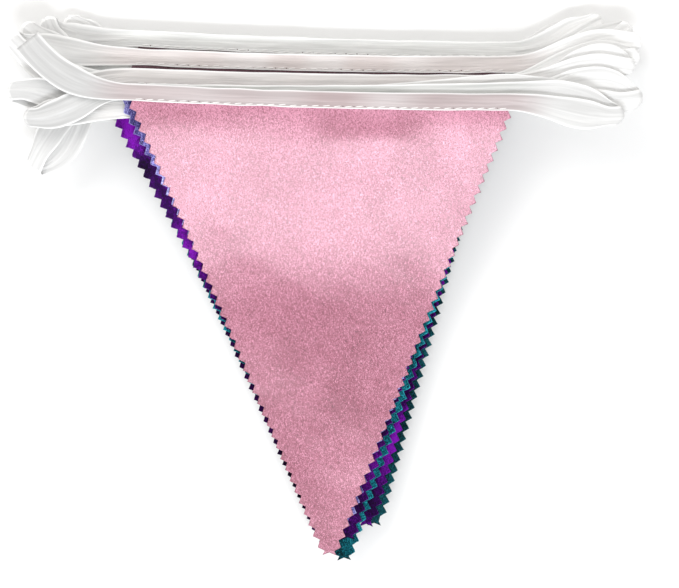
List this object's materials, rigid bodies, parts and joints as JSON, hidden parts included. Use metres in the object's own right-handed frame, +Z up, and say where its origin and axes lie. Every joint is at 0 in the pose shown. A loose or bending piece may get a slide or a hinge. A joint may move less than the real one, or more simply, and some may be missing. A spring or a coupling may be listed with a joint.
{
  "type": "fabric bunting",
  "caption": "Fabric bunting folded into a flat pile: pinked triangular pennants in shiny pink, lavender, purple and teal cloth, sewn to one white satin ribbon that loops at both sides.",
  "frame": {"origin": "middle of the pile's outline, on the surface that it lies on", "axes": "+X to the right along the ribbon, +Y from the pennant tips towards the ribbon, +Z up out of the pile"},
  "size_m": [0.2579, 0.2224, 0.0376],
  "materials": {
    "pink_cloth": "shiny metallic weave",
    "lavender_cloth": "shiny metallic weave",
    "purple_cloth": "shiny metallic weave",
    "teal_cloth": "shiny metallic weave",
    "ribbon_satin": "satin"
  },
  "bodies": {
    "root": {"pennant_01_pink": "pink_cloth", "pennant_02_lavender": "lavender_cloth", "pennant_03_purple": "purple_cloth", "pennant_04_teal": "teal_cloth", "pennant_05_pink": "pink_cloth", "pennant_06_lavender": "lavender_cloth", "pennant_07_purple": "purple_cloth", "pennant_08_teal": "teal_cloth", "pennant_09_pink": "pink_cloth", "pennant_10_lavender": "lavender_cloth", "pennant_11_purple": "purple_cloth", "pennant_12_teal": "teal_cloth", "pennant_13_pink": "pink_cloth", "pennant_14_lavender": "lavender_cloth", "pennant_15_purple": "purple_cloth", "pennant_16_teal": "teal_cloth", "ribbon": "ribbon_satin"}
  },
  "joints": []
}
